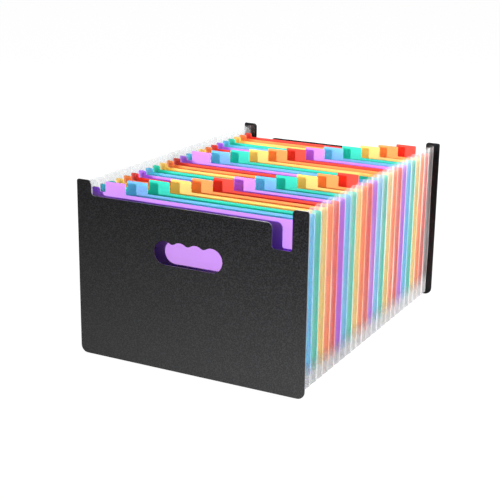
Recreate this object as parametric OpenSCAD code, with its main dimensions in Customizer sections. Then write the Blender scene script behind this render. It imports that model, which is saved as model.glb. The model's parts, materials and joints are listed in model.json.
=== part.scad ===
// Expanding desktop file: two stiff covers stand on a table with a row of coloured
// divider sheets between them. A thin pleated film joins each sheet to the next along
// both sides and underneath, so the whole row draws out and folds flat like an accordion.
// Millimetres, +Z up, table at Z = 0, front cover towards -Y.

/* [Covers] */
// Width of each cover
cover_w = 330; // [300:1:400]
// Height of each cover, ears included
cover_h = 238; // [230:1:300]
// Thickness of the cover sheet
cover_t = 1.5; // [0.8:0.1:3]
// Radius of the two lower corners
foot_r = 10; // [2:0.5:18]
// Radius of the outer corner of each ear
ear_outer_r = 3; // [0.5:0.5:8]
// Radius of the inner corner of each ear
ear_inner_r = 5; // [0.5:0.5:8]

/* [Cover top edge] */
// Width of the ear left standing at each end of the top edge
ear_w = 21.5; // [18:0.5:30]
// How far the middle of the top edge lies below the ears
ear_rise = 20; // [8:0.5:28]
// Radius where the lowered edge meets an ear
dip_r = 5; // [1:0.5:8]
// Width of the deep notch beside one ear
notch_w = 27; // [18:0.5:50]
// Depth of that notch below the lowered edge
notch_depth = 32; // [15:0.5:45]
// Radius of the notch's upper lip
notch_lip_r = 7; // [1:0.5:9]
// Radius of the notch's two lower corners
notch_r = 3.5; // [1:0.5:8]

/* [Hand hole] */
// Width of the hand hole
hole_w = 99; // [80:1:140]
// Height of the hand hole from its flat edge to its lobes
hole_h = 31.5; // [24:0.5:40]
// Height of the hole's flat lower edge above the table
hole_z = 142; // [100:1:143]
// Number of points that part the finger lobes
lobe_points = 3; // [1:1:5]
// How far each point hangs down between two lobes
lobe_drop = 3.5; // [1:0.25:6]

/* [Dividers] */
// Width of each divider sheet
divider_w = 310; // [270:1:312]
// Thickness of each divider sheet
divider_t = 0.5; // [0.3:0.1:1]
// Height of a divider's lower edge above the table
divider_lift = 16; // [15.5:0.5:30]
// Height of a divider from its lower edge to its ears
divider_h = 209; // [190:1:212]
// Width of a divider's ears
divider_ear_w = 12; // [6:0.5:16]
// How far a divider's top edge lies below its ears
divider_dip = 5.5; // [3:0.5:14]
// Radius of the corners of a divider's ears
divider_ear_r = 2; // [0.5:0.25:2.5]
// Radius of a divider's two lower corners
divider_corner_r = 3; // [1:0.5:8]

/* [Tabs] */
// Width of an index tab
tab_w = 31; // [15:0.5:40]
// Height of an index tab above its divider's top edge
tab_rise = 14.5; // [8:0.5:20]
// Radius of a tab's upper corners
tab_r = 1.5; // [0.5:0.25:4]
// Space between a divider's ear and the outermost tab
tab_margin = 8.7; // [2:0.1:20]

/* [Pleated film] */
// Thickness of the film
film_t = 0.3; // [0.15:0.05:0.5]
// Length of each side of a pleat, from its weld to its outer fold
pleat_leg = 10; // [9.5:0.1:14]
// Width of the margin welded to the face of a sheet
weld_w = 9; // [5:0.5:11]
// How far the film hangs below a divider before it folds
film_drop = 4; // [1:0.5:4]
// How far the film stands above a divider's ears
film_rise = 9; // [0:0.5:11]

/* [Position] */
// Clear space between neighbouring sheets as it stands
open_gap = 17.9; // [6:0.1:18.9]

/* [Hidden] */
divider_count = 24;
tab_places = 12;
pocket_count = divider_count + 1;
pitch = open_gap + divider_t;
stand_depth = 2 * cover_t + divider_count * divider_t + pocket_count * open_gap;
dip_z = cover_h - ear_rise;
hole_end_r = hole_h / 2;
hole_run = hole_w / 2 - hole_end_r;
divider_top = divider_lift + divider_h - divider_dip;
tab_pitch = (divider_w - 2 * (divider_ear_w + tab_margin) - tab_w) / (tab_places - 1);
fold_z = divider_lift - film_drop;
film_top = divider_lift + divider_h + film_rise;
pleat_out = sqrt(pow(pleat_leg, 2) - pow(open_gap / 2, 2));
miter = weld_w + pleat_leg;
arc_steps = 6;
wave_steps = 12;
$fn = 64;

cover_color = "#26262a";
film_color = "#e8ecee";
sheet_colors = ["#c08cf0", "#78bff0", "#3ccfb6", "#fadf80", "#fa9c44", "#ea4030"];

function two(n) = n < 10 ? str("0", n) : str(n);
divider_names = [for (n = [1 : divider_count]) str("divider_", two(n))];
gusset_names = [for (n = [1 : pocket_count]) str("gusset_", two(n))];

// Rounded outlines: a corner is [x, z, radius], and each becomes an arc that is tangent
// to both of its edges.

function unit(v) = v / norm(v);

function corner_arc(before, corner, after) =
    let (
        c = [corner[0], corner[1]],
        u = unit([before[0], before[1]] - c),
        v = unit([after[0], after[1]] - c),
        half = acos(u * v) / 2,
        centre = c + unit(u + v) * corner[2] / sin(half),
        from = c + u * corner[2] / tan(half) - centre,
        to = c + v * corner[2] / tan(half) - centre,
        sweep = 180 - 2 * half
    )
    [for (i = [0 : arc_steps])
        let (s = i / arc_steps)
        centre + (sin((1 - s) * sweep) * from + sin(s * sweep) * to) / sin(sweep)];

function rounded(corners) =
    let (n = len(corners))
    [for (i = [0 : n - 1])
        for (p = corner_arc(corners[(i + n - 1) % n], corners[i], corners[(i + 1) % n])) p];

// A flat sheet that stands upright, its front face at Y = 0
module sheet(t) {
    rotate([90, 0, 0])
        translate([0, 0, -t])
            linear_extrude(t)
                children();
}

// Cover outline with its two ears, lowered top edge and deep notch
module cover_outline() {
    side = cover_w / 2;
    ear_in = side - ear_w;
    polygon(rounded([
        [-side, 0, foot_r],
        [side, 0, foot_r],
        [side, cover_h, ear_outer_r],
        [ear_in, cover_h, ear_inner_r],
        [ear_in, dip_z - notch_depth, notch_r],
        [ear_in - notch_w, dip_z - notch_depth, notch_r],
        [ear_in - notch_w, dip_z, notch_lip_r],
        [-ear_in, dip_z, dip_r],
        [-ear_in, cover_h, ear_inner_r],
        [-side, cover_h, ear_outer_r]
    ]));
}

// Half round ends and a flat lower edge. The upper edge is a wave: it is highest over each
// finger and drops to a narrow point between two fingers.
function hole_wave(s) = hole_z + hole_h - lobe_drop * pow(abs(sin(180 * s)), 3);

module hand_hole() {
    mid = hole_z + hole_end_r;
    waves = lobe_points * wave_steps;
    right_end = [for (a = [-90 : 10 : 80]) [hole_run + hole_end_r * cos(a), mid + hole_end_r * sin(a)]];
    top = [for (i = [0 : waves]) [hole_run * (1 - 2 * i / waves), hole_wave(i / wave_steps)]];
    left_end = [for (a = [100 : 10 : 270]) [-hole_run + hole_end_r * cos(a), mid + hole_end_r * sin(a)]];
    polygon(concat(right_end, top, left_end));
}

module cover() {
    color(cover_color)
        translate([0, -stand_depth / 2, 0])
            sheet(cover_t)
                difference() {
                    cover_outline();
                    hand_hole();
                }
}

module front_cover() {
    cover();
}

// The back cover is the same piece turned round
module back_cover() {
    rotate([0, 0, 180])
        cover();
}

// Divider outline: square ears, a slightly lowered top edge and one tab that moves along
// by one place from sheet to sheet
module divider_outline(place) {
    side = divider_w / 2;
    ear_in = side - divider_ear_w;
    ear_z = divider_lift + divider_h;
    tab_x = (place - (tab_places - 1) / 2) * tab_pitch;
    polygon(rounded([
        [-side, divider_lift, divider_corner_r],
        [side, divider_lift, divider_corner_r],
        [side, ear_z, divider_ear_r],
        [ear_in, ear_z, divider_ear_r],
        [ear_in, divider_top, divider_ear_r / 2],
        [tab_x + tab_w / 2, divider_top, tab_r / 4],
        [tab_x + tab_w / 2, divider_top + tab_rise, tab_r],
        [tab_x - tab_w / 2, divider_top + tab_rise, tab_r],
        [tab_x - tab_w / 2, divider_top, tab_r / 4],
        [-ear_in, divider_top, divider_ear_r / 2],
        [-ear_in, ear_z, divider_ear_r],
        [-side, ear_z, divider_ear_r]
    ]));
}

module divider(n) {
    color(sheet_colors[(n - 1) % len(sheet_colors)])
        translate([0, -stand_depth / 2 + cover_t + n * pitch - divider_t, 0])
            sheet(divider_t)
                divider_outline((n - 1) % tab_places);
}

// Cross-section of one pleat: a welded margin on each sheet and two legs that meet in an
// outer fold. X points out of the file and Y runs from the sheet in front to the one behind.
function pleat_section() =
    let (
        g = open_gap / 2,
        fold_in = pleat_out - film_t * pleat_leg / g,
        root_in = film_t * ((pleat_leg - pleat_out) * pleat_out / g - g) / pleat_leg
    )
    [
        [-weld_w, -g],
        [0, -g],
        [pleat_out, 0],
        [0, g],
        [-weld_w, g],
        [-weld_w, g - film_t],
        [root_in, g - film_t],
        [fold_in, 0],
        [root_in, film_t - g],
        [-weld_w, film_t - g]
    ];

// One pleat follows a U: down one side, across the bottom and up again. The runs meet in
// mitred folds, so each is cut off on a slope through the root of the pleat.
module pleat_run(length) {
    linear_extrude(length)
        polygon(pleat_section());
}

module miter_cut(corners) {
    rotate([90, 0, 0])
        translate([0, 0, -open_gap])
            linear_extrude(2 * open_gap)
                polygon(corners);
}

module pleat_side() {
    side = divider_w / 2;
    intersection() {
        translate([side, 0, fold_z - miter])
            pleat_run(film_top - fold_z + miter);
        miter_cut([
            [side + miter, fold_z - miter],
            [side + miter, film_top + 1],
            [side - miter, film_top + 1],
            [side - miter, fold_z + miter]
        ]);
    }
}

module pleat_bottom() {
    side = divider_w / 2;
    intersection() {
        translate([-side - miter, 0, fold_z])
            rotate([0, 90, 0])
                pleat_run(2 * side + 2 * miter);
        miter_cut([
            [-side - miter, fold_z - miter],
            [side + miter, fold_z - miter],
            [side - miter, fold_z + miter],
            [-side + miter, fold_z + miter]
        ]);
    }
}

module gusset(n) {
    color(film_color)
        translate([0, -stand_depth / 2 + cover_t + (n - 1) * pitch + open_gap / 2, 0])
            union() {
                pleat_side();
                pleat_bottom();
                mirror([1, 0, 0])
                    pleat_side();
            }
}

front_cover();
for (n = [1 : divider_count])
    divider(n);
back_cover();
for (n = [1 : pocket_count])
    gusset(n);
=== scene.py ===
import json
import math

import bpy
import numpy as np
from mathutils import Matrix, Vector


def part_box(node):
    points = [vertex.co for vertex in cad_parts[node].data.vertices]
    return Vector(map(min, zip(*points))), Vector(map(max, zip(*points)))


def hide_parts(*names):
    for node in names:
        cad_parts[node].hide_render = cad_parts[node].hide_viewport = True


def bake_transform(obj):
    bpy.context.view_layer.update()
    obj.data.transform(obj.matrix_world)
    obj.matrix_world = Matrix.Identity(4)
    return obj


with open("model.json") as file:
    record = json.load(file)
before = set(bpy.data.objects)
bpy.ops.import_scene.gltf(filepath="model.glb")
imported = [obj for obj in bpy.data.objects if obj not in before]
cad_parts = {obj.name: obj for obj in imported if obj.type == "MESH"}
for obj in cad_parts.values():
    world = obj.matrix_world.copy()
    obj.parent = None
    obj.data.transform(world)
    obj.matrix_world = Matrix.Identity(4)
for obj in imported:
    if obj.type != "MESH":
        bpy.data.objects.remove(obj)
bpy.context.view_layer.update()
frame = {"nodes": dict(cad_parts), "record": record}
nodes = frame["nodes"]
scene = bpy.context.scene
print("frame loaded:", len(nodes), "nodes")


def linear(hexColour):
    # sRGB hex to linear light, channel by channel
    srgb = np.array([int(hexColour[i:i + 2], 16) for i in (1, 3, 5)]) / 255
    light = np.where(srgb <= 0.04045, srgb / 12.92, ((srgb + 0.055) / 1.055) ** 2.4)
    return (*light.tolist(), 1.0)


def addNode(tree, kind, sets=None, links=None, **fields):
    # one node with its fields, the values of its sockets and what feeds them
    node = tree.nodes.new(kind)
    for field, value in fields.items():
        setattr(node, field, value)
    for socket, value in (sets or {}).items():
        node.inputs[socket].default_value = value
    for socket, source in (links or {}).items():
        tree.links.new(source, node.inputs[socket])
    return node


def newMaterial(name):
    material = bpy.data.materials.new(name)
    material.use_nodes = True
    material.node_tree.nodes.clear()
    return material, material.node_tree


# Camera: the angle, distance and lens that lay the corners of both covers on the photograph
view = {
    "azimuth": 27.471, "elevation": 16.716, "roll": 0.817,  # degrees
    "aim": (0.0, 0.0, 0.1155), "distance": 1.68092,  # metres
    "slide": (0.029106, 0.008316),  # metres across and up in the picture
    "clip": (0.05, 50.0),  # metres to the nearest and the farthest thing drawn
    "lens": 85.178, "sensor": 36.0,  # mm
}


def placeCamera():
    turn, lift, roll = (math.radians(view[k]) for k in ("azimuth", "elevation", "roll"))
    back = Vector((math.sin(turn) * math.cos(lift), -math.cos(turn) * math.cos(lift),
                   math.sin(lift)))
    level = Vector((0, 0, 1)).cross(back).normalized()
    upright = back.cross(level)
    right = level * math.cos(roll) + upright * math.sin(roll)
    up = upright * math.cos(roll) - level * math.sin(roll)
    across, above = view["slide"]
    spot = Vector(view["aim"]) + back * view["distance"] - right * across - up * above
    data = bpy.data.cameras.new("photoCamera")
    data.lens, data.sensor_width = view["lens"], view["sensor"]
    data.clip_start, data.clip_end = view["clip"]
    camera = bpy.data.objects.new("photoCamera", data)
    camera.matrix_world = Matrix((
        (right.x, up.x, back.x, spot.x),
        (right.y, up.y, back.y, spot.y),
        (right.z, up.z, back.z, spot.z),
        (0, 0, 0, 1)))
    scene.collection.objects.link(camera)
    scene.camera = camera


placeCamera()
print("camera placed")

# Every piece is polypropylene. Its patterns are given in mm and drawn in metres, and noise
# seldom leaves the span that is spread out between two ends.
polypropyleneIor = 1.49
perMetre = 1000
noiseSpan = {"From Min": 0.3, "From Max": 0.7}

# Extruded black polypropylene with a grain rolled into both faces: pebbles paler than the pits,
# with a painted sparkle in the strong contrast near the top, a painted sheen that makes it paler
# towards the foot and towards one side, and a shinier cut edge where the die cut it, painted paler
# as a highlight
cover = {
    "pit": ("#030304", "#2c2c2d"), "pebble": ("#222224", "#383839"),  # at the top, where the strong contrast is a painted sparkle, and at the foot, paler with a painted sheen
    "edge": "#4a4a4e", "edgeTurn": 0.5,  # paler colour of the cut edge, a painted highlight, and faces that look less than this along the file
    "scuffedAndPaintedSheen": (0.22, 0.02),  # metres above the table where the painted sheen begins and where it is full
    "paintedSideSheen": (0.74, 1.24), "reach": 0.165,  # painted sheen, as a tone at the left and the right, and metres out to a side
    "grain": 1.5,  # mm across a pebble, about twice the real one so that it shows
    "melt": 0.6,  # how far pebbles run into each other
    "finer": 2.4, "fineShare": 0.35,  # a second grain: times as fine, and its share of the relief
    "tops": (0.5, 0.85),  # relief at which a pit ends and a pebble's top begins
    "depth": 0.2, "press": 0.9,  # mm from pit to pebble, and how crisp it is
    "haze": 38.0,  # mm across the soft patches that handling leaves
    "rough": (0.42, 0.58), "edgeRough": 0.3, "shine": 0.05, "edgeShine": 0.35,
}


def grainedBlackPolypropylene():
    material, tree = newMaterial("grainedBlackPolypropylene")
    place = addNode(tree, "ShaderNodeTexCoord")
    pebbles = addNode(tree, "ShaderNodeTexVoronoi",
                      {"Scale": perMetre / cover["grain"], "Smoothness": cover["melt"]},
                      {"Vector": place.outputs["Object"]}, feature="SMOOTH_F1")
    fine = addNode(tree, "ShaderNodeTexNoise",
                   {"Scale": perMetre * cover["finer"] / cover["grain"], "Detail": 3.0},
                   {"Vector": place.outputs["Object"]})
    haze = addNode(tree, "ShaderNodeTexNoise", {"Scale": perMetre / cover["haze"], "Detail": 2.0},
                   {"Vector": place.outputs["Object"]})
    relief = addNode(tree, "ShaderNodeMath", {1: cover["fineShare"]},
                     {0: fine.outputs["Fac"], 2: pebbles.outputs["Distance"]},
                     operation="MULTIPLY_ADD")
    tops = addNode(tree, "ShaderNodeMapRange",
                   {"From Min": cover["tops"][0], "From Max": cover["tops"][1]},
                   {"Value": relief.outputs[0]})
    spot = addNode(tree, "ShaderNodeSeparateXYZ", None, {0: place.outputs["Object"]})
    # painted sheen: the pits and pebbles turn paler and more even towards the foot
    paintedFootSheen = addNode(tree, "ShaderNodeMapRange",
                     {"From Min": cover["scuffedAndPaintedSheen"][0], "From Max": cover["scuffedAndPaintedSheen"][1]},
                     {"Value": spot.outputs["Z"]})
    low, high = (addNode(tree, "ShaderNodeMix",
                         {6: linear(cover[k][0]), 7: linear(cover[k][1])},
                         {0: paintedFootSheen.outputs[0]}, data_type="RGBA") for k in ("pit", "pebble"))
    facing = addNode(tree, "ShaderNodeSeparateXYZ", None, {0: place.outputs["Normal"]})
    along = addNode(tree, "ShaderNodeMath", None, {0: facing.outputs["Y"]}, operation="ABSOLUTE")
    cut = addNode(tree, "ShaderNodeMath", {1: cover["edgeTurn"]}, {0: along.outputs[0]},
                  operation="LESS_THAN")
    tint = addNode(tree, "ShaderNodeMix", None,
                   {0: tops.outputs[0], 6: low.outputs[2], 7: high.outputs[2]}, data_type="RGBA")
    # painted sheen, paler at the right: the back cover is the front one turned round, so its right
    # side lies the other way
    across = addNode(tree, "ShaderNodeMath", None,
                     {0: spot.outputs["X"], 1: facing.outputs["Y"]}, operation="MULTIPLY")
    paintedSideSheen = addNode(tree, "ShaderNodeMapRange",
                   {"From Min": cover["reach"], "From Max": -cover["reach"],
                    "To Min": cover["paintedSideSheen"][0], "To Max": cover["paintedSideSheen"][1]},
                   {"Value": across.outputs[0]})
    wearAndPaintedSheen = addNode(tree, "ShaderNodeVectorMath", None,
                   {0: tint.outputs[2], "Scale": paintedSideSheen.outputs[0]}, operation="SCALE")
    # the cut edges take the paler edge colour, a painted highlight
    colour = addNode(tree, "ShaderNodeMix", {7: linear(cover["edge"])},
                     {0: cut.outputs[0], 6: wearAndPaintedSheen.outputs[0]}, data_type="RGBA")
    matt = addNode(tree, "ShaderNodeMapRange",
                   {**noiseSpan, "To Min": cover["rough"][0], "To Max": cover["rough"][1]},
                   {"Value": haze.outputs["Fac"]})
    rough = addNode(tree, "ShaderNodeMix", {3: cover["edgeRough"]},
                    {0: cut.outputs[0], 2: matt.outputs[0]}, data_type="FLOAT")
    shine = addNode(tree, "ShaderNodeMix", {2: cover["shine"], 3: cover["edgeShine"]},
                    {0: cut.outputs[0]}, data_type="FLOAT")
    bump = addNode(tree, "ShaderNodeBump",
                   {"Strength": cover["press"], "Distance": cover["depth"] / perMetre},
                   {"Height": relief.outputs[0]})
    skin = addNode(tree, "ShaderNodeBsdfPrincipled", {"IOR": polypropyleneIor},
                   {"Base Color": colour.outputs[2], "Roughness": rough.outputs[0],
                    "Specular IOR Level": shine.outputs[0], "Normal": bump.outputs[0]})
    addNode(tree, "ShaderNodeOutputMaterial", None, {"Surface": skin.outputs[0]})
    return material


# Dyed satin polypropylene sheet, half a millimetre thick: even, slightly cloudy colour,
# a broad soft sheen from the roller finish, and light that glows through from behind
sheet = {
    "colours": {  # by reflected light, by light from behind, and the share of light that passes
        "purple_sheet": ("#ecb0ff", "#c042ff", 0.42),
        "blue_sheet": ("#9e9cf2", "#42ebe7", 0.55),
        "teal_sheet": ("#3ce2dc", "#14e2be", 0.55),
        "yellow_sheet": ("#feeea6", "#ffd838", 0.55),
        "orange_sheet": ("#fcd878", "#f87206", 0.55),
        "red_sheet": ("#ee5e4a", "#ee1e0c", 0.55),
    },
    "satin": 0.9,  # mm between the roller's marks, coarser than the real 0.2 so that they show
    "depth": 0.03, "press": 0.25,  # mm that the marks are deep, and how crisp they are
    "cloud": 45.0, "cloudy": 0.16,  # mm across the faint clouds in the dye, and their strength
    "rough": (0.42, 0.54), "shine": 0.7,
}


def satinDyedPolypropylene(slot):
    material, tree = newMaterial("satinDyedPolypropylene_" + slot.split("_")[0])
    face, glow, through = sheet["colours"][slot]
    place = addNode(tree, "ShaderNodeTexCoord")
    marks = addNode(tree, "ShaderNodeTexNoise",
                    {"Scale": perMetre / sheet["satin"], "Detail": 2.0},
                    {"Vector": place.outputs["Object"]})
    cloud = addNode(tree, "ShaderNodeTexNoise",
                    {"Scale": perMetre / sheet["cloud"], "Detail": 3.0},
                    {"Vector": place.outputs["Object"]})
    deeper = addNode(tree, "ShaderNodeMapRange",
                     {**noiseSpan, "To Min": 0.0, "To Max": sheet["cloudy"]},
                     {"Value": cloud.outputs["Fac"]})
    colour = addNode(tree, "ShaderNodeMix", {6: linear(face), 7: linear(glow)},
                     {0: deeper.outputs[0]}, data_type="RGBA")
    rough = addNode(tree, "ShaderNodeMapRange",
                    {**noiseSpan, "To Min": sheet["rough"][0], "To Max": sheet["rough"][1]},
                    {"Value": marks.outputs["Fac"]})
    bump = addNode(tree, "ShaderNodeBump",
                   {"Strength": sheet["press"], "Distance": sheet["depth"] / perMetre},
                   {"Height": marks.outputs["Fac"]})
    skin = addNode(tree, "ShaderNodeBsdfPrincipled",
                   {"IOR": polypropyleneIor, "Specular IOR Level": sheet["shine"]},
                   {"Base Color": colour.outputs[2], "Roughness": rough.outputs[0],
                    "Normal": bump.outputs[0]})
    behind = addNode(tree, "ShaderNodeBsdfTranslucent", {"Color": linear(glow)})
    both = addNode(tree, "ShaderNodeMixShader", {0: through},
                   {1: skin.outputs[0], 2: behind.outputs[0]})
    addNode(tree, "ShaderNodeOutputMaterial", None, {"Surface": both.outputs[0]})
    return material


# Frosted clear polypropylene film: a milky veil over what lies behind it, denser where it is
# seen edge on and where bending has whitened it, and a soft shine along the folds
film = {
    "milk": ("#bcbbbc", "#d8d6d7"), "milkThrough": 0.5,  # lit from in front, from behind, and mix
    "clear": "#fbfcfc",  # tint of what passes
    "veil": (0.043, 0.112), "edgeOn": 0.35,  # share of milk seen square on and edge on, and bias
    "streak": 3.25, "stretch": 0.12,  # mm across a faint stretch mark, its width over its length
    "uneven": (0.85, 1.15),  # how those marks thin and thicken the veil
    "frost": 1.1,  # mm across the frosting, coarser than the real grit so that it shows
    "depth": 0.03, "press": 0.2,  # mm that the frosting is deep, and how crisp it is
    "rough": (0.22, 0.36),
    "creaseVeil": 0.3,  # share of milk that a full crease adds
    "rootCrease": 0.6, "rootWidth": 0.5,  # how white the weld line is, and how far up a leg
    "foldCrease": 0.25, "foldWidth": 0.14,  # the same for the outer fold
    "whitened": (0.4, 1.1), "blotches": ((0.25, 23),),  # how that varies by pleat and along it
    "scuffedAndPaintedSheen": 0.75, "frayed": 0.1, "frayFade": 30,  # crease along the bottom and the cut top
    "thick": 0.0003, "margin": 0.009, "lift": 0.00003,  # metres
    "foldRadius": 0.0007, "topRound": 0.004, "topFade": 8,  # metres, and how fast the top rounds
    "wander": 0.0016, "wanderWaves": ((0.6, 14), (0.4, 33)),  # metres a fold strays along the file
    "breathe": 0.0006, "breatheWaves": ((0.5, 19), (0.5, 41)),  # metres it strays across the file
    "slack": 0.008,  # metres that the bottom hangs down
    "flatter": 0.2, "corner": 0.75,  # depth of the bottom's fold, slope of the lower corners
    "cornerRoom": 1.15,  # room for a mitred corner, over the margin
    "marginSteps": 3, "legSteps": 4, "bendSteps": 7, "uprightSteps": 15, "crossSteps": 13,
    "sharp": 40.0,  # degrees
}


def frostedClearPolypropylene():
    material, tree = newMaterial("frostedClearPolypropylene")
    place = addNode(tree, "ShaderNodeTexCoord")
    frost = addNode(tree, "ShaderNodeTexNoise", {"Scale": perMetre / film["frost"], "Detail": 2.0},
                    {"Vector": place.outputs["Object"]})
    stretched = addNode(tree, "ShaderNodeMapping", {"Scale": (1.0, 1.0, film["stretch"])},
                        {"Vector": place.outputs["Object"]})
    streak = addNode(tree, "ShaderNodeTexNoise",
                     {"Scale": perMetre / film["streak"], "Detail": 2.0},
                     {"Vector": stretched.outputs[0]})
    edgeOn = addNode(tree, "ShaderNodeLayerWeight", {"Blend": film["edgeOn"]})
    turned = addNode(tree, "ShaderNodeMapRange",
                     {"To Min": film["veil"][0], "To Max": film["veil"][1]},
                     {"Value": edgeOn.outputs["Facing"]})
    uneven = addNode(tree, "ShaderNodeMapRange",
                     {**noiseSpan, "To Min": film["uneven"][0], "To Max": film["uneven"][1]},
                     {"Value": streak.outputs["Fac"]})
    creased = addNode(tree, "ShaderNodeAttribute", attribute_name="crease")
    whiter = addNode(tree, "ShaderNodeMath", {1: film["creaseVeil"]},
                     {0: creased.outputs["Fac"], 2: turned.outputs[0]}, operation="MULTIPLY_ADD")
    veil = addNode(tree, "ShaderNodeMath", None, {0: whiter.outputs[0], 1: uneven.outputs[0]},
                   operation="MULTIPLY", use_clamp=True)
    rough = addNode(tree, "ShaderNodeMapRange",
                    {**noiseSpan, "To Min": film["rough"][0], "To Max": film["rough"][1]},
                    {"Value": frost.outputs["Fac"]})
    bump = addNode(tree, "ShaderNodeBump",
                   {"Strength": film["press"], "Distance": film["depth"] / perMetre},
                   {"Height": frost.outputs["Fac"]})
    skin = addNode(tree, "ShaderNodeBsdfPrincipled",
                   {"Base Color": linear(film["milk"][0]), "IOR": polypropyleneIor},
                   {"Roughness": rough.outputs[0], "Normal": bump.outputs[0]})
    behind = addNode(tree, "ShaderNodeBsdfTranslucent", {"Color": linear(film["milk"][1])})
    milk = addNode(tree, "ShaderNodeMixShader", {0: film["milkThrough"]},
                   {1: skin.outputs[0], 2: behind.outputs[0]})
    clear = addNode(tree, "ShaderNodeBsdfTransparent", {"Color": linear(film["clear"])})
    both = addNode(tree, "ShaderNodeMixShader", None,
                   {0: veil.outputs[0], 1: clear.outputs[0], 2: milk.outputs[0]})
    addNode(tree, "ShaderNodeOutputMaterial", None, {"Surface": both.outputs[0]})
    return material


finishes = {"black_cover": grainedBlackPolypropylene(), "clear_film": frostedClearPolypropylene()}
finishes.update({slot: satinDyedPolypropylene(slot) for slot in sheet["colours"]})
for part in frame["record"]["subparts"]:
    node = nodes[part["node"]]
    node.data.materials.clear()
    node.data.materials.append(finishes[part["material_slot"]])
print("finishes set:", len(finishes))


def pleatSection(gap, out):
    # A V between two sheets: margin flat on the first sheet, leg out to a fold rounded by a
    # parabola, leg back, margin flat on the second. Columns are outward, along the file, the
    # share of the fold at that point (1 on the fold, 0 on the margins) and how creased it is:
    # a bell curve about the root plus one about the fold.
    half = gap / 2 - film["lift"] - film["thick"] / 2
    soft = film["foldRadius"] / math.hypot(out, half)
    bend = np.linspace(-1, 1, film["bendSteps"])[1:-1]
    leg = np.linspace(0, 1 - 2 * soft, film["legSteps"])
    flat = np.arange(1, film["marginSteps"] + 1) / film["marginSteps"]
    share = np.concatenate([leg, 1 - soft * (1 + bend ** 2), leg[::-1]])
    reach = np.concatenate([leg - 1, bend * 2 * soft, 1 - leg[::-1]])
    outward = np.concatenate([-film["margin"] * flat[::-1], out * share, -film["margin"] * flat])
    along = half * np.concatenate([-np.ones_like(flat), reach, np.ones_like(flat)])
    share = np.concatenate([np.zeros_like(flat), share, np.zeros_like(flat)])
    atRoot = film["rootCrease"] * np.exp(-(share / film["rootWidth"]) ** 2)
    atFold = film["foldCrease"] * np.exp(-((1 - share) / film["foldWidth"]) ** 2)
    creased = np.where(outward < 0, 0.0, atRoot + atFold)
    return outward, along, share, creased


def pleatPath(rootX, rootZ, top):
    # Down one side, across the bottom and up the other side, with a mitred fold at each
    # lower corner. Columns are the root line's place, the way out from it, and the share
    # of the upright run (1 at the top).
    clear = film["margin"] * film["cornerRoom"]
    upright = np.linspace(top, rootZ + clear, film["uprightSteps"])
    cross = np.linspace(-1, 1, film["crossSteps"]) * (rootX - clear)
    one, zero = np.ones_like, np.zeros_like
    x = np.concatenate([-rootX * one(upright), [-rootX], cross, [rootX], rootX * one(upright)])
    z = np.concatenate([upright, [rootZ], rootZ * one(cross), [rootZ], upright[::-1]])
    outX = np.concatenate([-one(upright), [-1], zero(cross), [1], one(upright)])
    outZ = np.concatenate([zero(upright), [-1], -one(cross), [-1], zero(upright)])
    rise = np.clip((z - rootZ - clear) / (top - rootZ - clear), 0, 1)
    return x, z, outX, outZ, rise


def waves(length, parts, phase):
    # a sum of sines along the film: each part is its share and its radians in a metre
    return sum(share * np.sin(length * rate + turn) for (share, rate), turn in zip(parts, phase))


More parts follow.
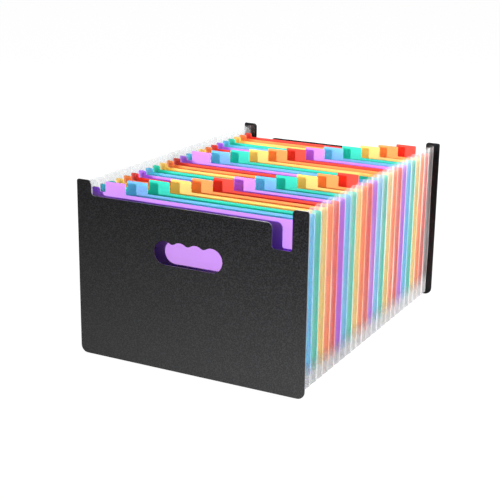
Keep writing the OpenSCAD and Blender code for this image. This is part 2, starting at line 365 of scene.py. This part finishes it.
def pleatMesh(name, low, high, rootX, rootZ, seed):
    # The V section carried along the U path, then thickened: each point is the root line
    # plus outward times the section's reach, and the two skins lie half a film thickness
    # to each side along the section's own normal. Each fold strays by a sum of two sines.
    # Under the sheets the root line hangs by the slack and the fold below it is flatter,
    # and at the two lower corners the fold rises instead, which cuts them on a slope.
    outward, along, share, creased = pleatSection(high.y - low.y, high.x - rootX)
    x, z, outX, outZ, rise = pleatPath(rootX, rootZ, high.z)
    dice = np.random.default_rng(seed)
    phase = dice.uniform(0, 2 * math.pi, 6)  # the last is spare, and keeps the draws in step
    length = np.cumsum(np.hypot(np.diff(x, prepend=x[0]), np.diff(z, prepend=z[0])))
    stray = film["wander"] * waves(length, film["wanderWaves"], phase[:2])
    breath = film["breathe"] * (waves(length, film["breatheWaves"], phase[2:4]) - 1)
    white = dice.uniform(*film["whitened"]) * (1 + waves(length, film["blotches"], phase[4:5]))
    fold = np.where(outX == 0, film["flatter"], -film["corner"])
    tangent = np.stack([np.gradient(outward), np.gradient(along)])
    tangent /= np.linalg.norm(tangent, axis=0)
    skins = []
    for side in (-0.5, 0.5):
        u = outward + side * film["thick"] * tangent[1]
        v = along - side * film["thick"] * tangent[0]
        inset = np.clip(film["topRound"] - (u + film["margin"]), 0, film["topRound"])
        drop = film["topRound"] - np.sqrt(film["topRound"] ** 2 - inset ** 2)
        out = u[None, :] + breath[:, None] * share[None, :]
        hang = out * (1 + film["slack"] / film["margin"])
        fall = np.where(out > 0, fold[:, None] * out, hang) + film["slack"]
        px = x[:, None] + outX[:, None] * out
        py = (low.y + high.y) / 2 + v[None, :] + stray[:, None] * share[None, :]
        pz = z[:, None] + outZ[:, None] * fall - rise[:, None] ** film["topFade"] * drop[None, :]
        skins.append(np.stack([px, py, pz], axis=-1))
    ring = np.concatenate([skins[0], skins[1][:, ::-1]], axis=1)
    rows, count = ring.shape[:2]
    index = np.arange(rows * count).reshape(rows, count)
    nextIndex = np.roll(index, -1, axis=1)
    wall = np.stack([index[:-1], nextIndex[:-1], nextIndex[1:], index[1:]], axis=-1).reshape(-1, 4)
    inner, outer = index[:, :count // 2], index[:, ::-1][:, :count // 2]
    first = np.stack([inner[0, :-1], outer[0, :-1], outer[0, 1:], inner[0, 1:]], axis=-1)
    last = np.stack([inner[-1, :-1], inner[-1, 1:], outer[-1, 1:], outer[-1, :-1]], axis=-1)
    faces = np.concatenate([wall, first, last])
    corner = ring.reshape(-1, 3)
    a, b, c, d = (corner[faces[:, i]] for i in range(4))
    volume = np.sum(a * np.cross(b, c)) + np.sum(a * np.cross(c, d))
    faces = faces if volume > 0 else faces[:, ::-1]
    mesh = bpy.data.meshes.new(name)
    mesh.from_pydata(corner.tolist(), [], faces.tolist())
    mesh.polygons.foreach_set("use_smooth", np.ones(len(faces), bool))
    mesh.set_sharp_from_angle(angle=math.radians(film["sharp"]))
    wearAndPaintedSheen = film["scuffedAndPaintedSheen"] * (rise == 0) + film["frayed"] * rise ** film["frayFade"]
    crease = white[:, None] * np.concatenate([creased, creased[::-1]])[None, :] + wearAndPaintedSheen[:, None]
    mesh.attributes.new("crease", "FLOAT", "POINT").data.foreach_set("value", crease.ravel())
    mesh.update()
    return mesh


def buildPleats():
    dividers = sorted(name for name in nodes if name.startswith("divider_"))
    order = ["front_cover", *dividers, "back_cover"]
    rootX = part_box("divider_01")[1].x
    for n in range(1, len(order)):
        node = "gusset_%02d" % n
        name = "pleat_%02d" % n
        low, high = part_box(node)
        rootZ = low.z + high.x - rootX
        piece = bpy.data.objects.new(name, pleatMesh(name, low, high, rootX, rootZ, n))
        scene.collection.objects.link(piece)
        piece.data.materials.append(finishes["clear_film"])
        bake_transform(piece)
        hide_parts(node)
    print("pleats built:", len(order) - 1)


buildPleats()

# Studio: one lamp low in front and to the left, soft boxes overhead, behind, at the right
# back corner and at both sides, and a pale floor
studio = {
    "lampTurn": 14.0, "lampRise": 10.0, "lampSoft": 2.6,  # degrees
    "lampPower": 3.75, "lampAway": 2.0,  # W/m2, metres
    "boxes": {  # metres, metres, W
        "overheadBox": {"at": (0.1, 0.1, 1.5), "size": (1.6, 1.3), "power": 7.0},
        "backBox": {"at": (-0.1, 1.35, 0.62), "size": (1.4, 0.7), "power": 20.0},
        "cornerBox": {"at": (2.0, 1.3, 0.35), "size": (1.4, 0.8), "power": 242.0},
        "rightBox": {"at": (1.15, -0.05, 0.4), "size": (0.8, 0.8), "power": 5.0},
        "leftBox": {"at": (-3.0, -1.0, 0.5), "size": (1.0, 0.8), "power": 50.0},
    },
    "boxAim": (0.0, 0.0, 0.1),  # metres
    "skyLight": 0.05,  # what the white around the object sheds on it
    "floorHalf": 9.0,  # metres
    "floorTone": "#808080", "floorSeen": "#4a4a4a",  # to scattered light, to the camera
    "floorGlow": 0.97,
}


def seenDirectly(tree):
    # 1 for the camera, reflections and glass, 0 for light that has been scattered
    path = addNode(tree, "ShaderNodeLightPath")
    mirrored = addNode(tree, "ShaderNodeMath", None,
                       {0: path.outputs["Is Glossy Ray"], 1: path.outputs["Is Transmission Ray"]},
                       operation="MAXIMUM")
    seen = addNode(tree, "ShaderNodeMath", None,
                   {0: path.outputs["Is Camera Ray"], 1: mirrored.outputs[0]}, operation="MAXIMUM")
    direct = addNode(tree, "ShaderNodeMath", None,
                     {0: seen.outputs[0], 1: path.outputs["Is Diffuse Ray"]},
                     operation="SUBTRACT", use_clamp=True)
    return direct.outputs[0]


def lightStudio():
    turn, rise = math.radians(studio["lampTurn"]), math.radians(studio["lampRise"])
    toLamp = Vector((-math.sin(turn) * math.cos(rise), -math.cos(turn) * math.cos(rise),
                     math.sin(rise)))
    sun = bpy.data.lights.new("frontLamp", "SUN")
    sun.energy, sun.angle = studio["lampPower"], math.radians(studio["lampSoft"])
    lamp = bpy.data.objects.new("frontLamp", sun)
    lamp.location = toLamp * studio["lampAway"]
    lamp.rotation_euler = toLamp.to_track_quat("Z", "Y").to_euler()
    scene.collection.objects.link(lamp)

    for name, box in studio["boxes"].items():
        soft = bpy.data.lights.new(name, "AREA")
        soft.shape, soft.size, soft.size_y = "RECTANGLE", *box["size"]
        soft.energy = box["power"]
        panel = bpy.data.objects.new(name, soft)
        panel.location = box["at"]
        away = Vector(box["at"]) - Vector(studio["boxAim"])
        panel.rotation_euler = away.to_track_quat("Z", "Y").to_euler()
        scene.collection.objects.link(panel)

    # a flag keeps the corner box off the back cover, which is as black as the front one
    flag = bpy.data.collections.new("cornerBoxFlag")
    flag.objects.link(nodes["back_cover"])
    flag.collection_objects[0].light_linking.link_state = "EXCLUDE"
    bpy.data.objects["cornerBox"].light_linking.receiver_collection = flag

    world = bpy.data.worlds.new("paleStudio")
    scene.world = world
    world.use_nodes = True
    tree = world.node_tree
    tree.nodes.clear()
    level = addNode(tree, "ShaderNodeMapRange", {"To Min": studio["skyLight"], "To Max": 1.0},
                    {"Value": seenDirectly(tree)})
    sky = addNode(tree, "ShaderNodeBackground", {"Color": (1, 1, 1, 1)},
                  {"Strength": level.outputs[0]})
    addNode(tree, "ShaderNodeOutputWorld", None, {"Surface": sky.outputs[0]})

    # to the camera the floor is a glow with a thin shadow over it, so that it meets the white
    half = studio["floorHalf"]
    mesh = bpy.data.meshes.new("paleFloor")
    mesh.from_pydata([(-half, -half, 0), (half, -half, 0), (half, half, 0), (-half, half, 0)],
                     [], [(0, 1, 2, 3)])
    floor = bpy.data.objects.new("paleFloor", mesh)
    scene.collection.objects.link(floor)
    material, tree = newMaterial("paleFloorPaper")
    seen = seenDirectly(tree)
    tone = addNode(tree, "ShaderNodeMix",
                   {6: linear(studio["floorTone"]), 7: linear(studio["floorSeen"])},
                   {0: seen}, data_type="RGBA")
    glow = addNode(tree, "ShaderNodeMath", {1: studio["floorGlow"]}, {0: seen},
                   operation="MULTIPLY")
    paper = addNode(tree, "ShaderNodeBsdfDiffuse", None, {"Color": tone.outputs[2]})
    white = addNode(tree, "ShaderNodeEmission", {"Color": (1, 1, 1, 1)},
                    {"Strength": glow.outputs[0]})
    both = addNode(tree, "ShaderNodeAddShader", None, {0: paper.outputs[0], 1: white.outputs[0]})
    addNode(tree, "ShaderNodeOutputMaterial", None, {"Surface": both.outputs[0]})
    mesh.materials.append(material)


lightStudio()
scene.view_settings.view_transform = "Standard"
scene.cycles.transparent_max_bounces = 32  # a look along the file passes many walls of film
print("studio lit")
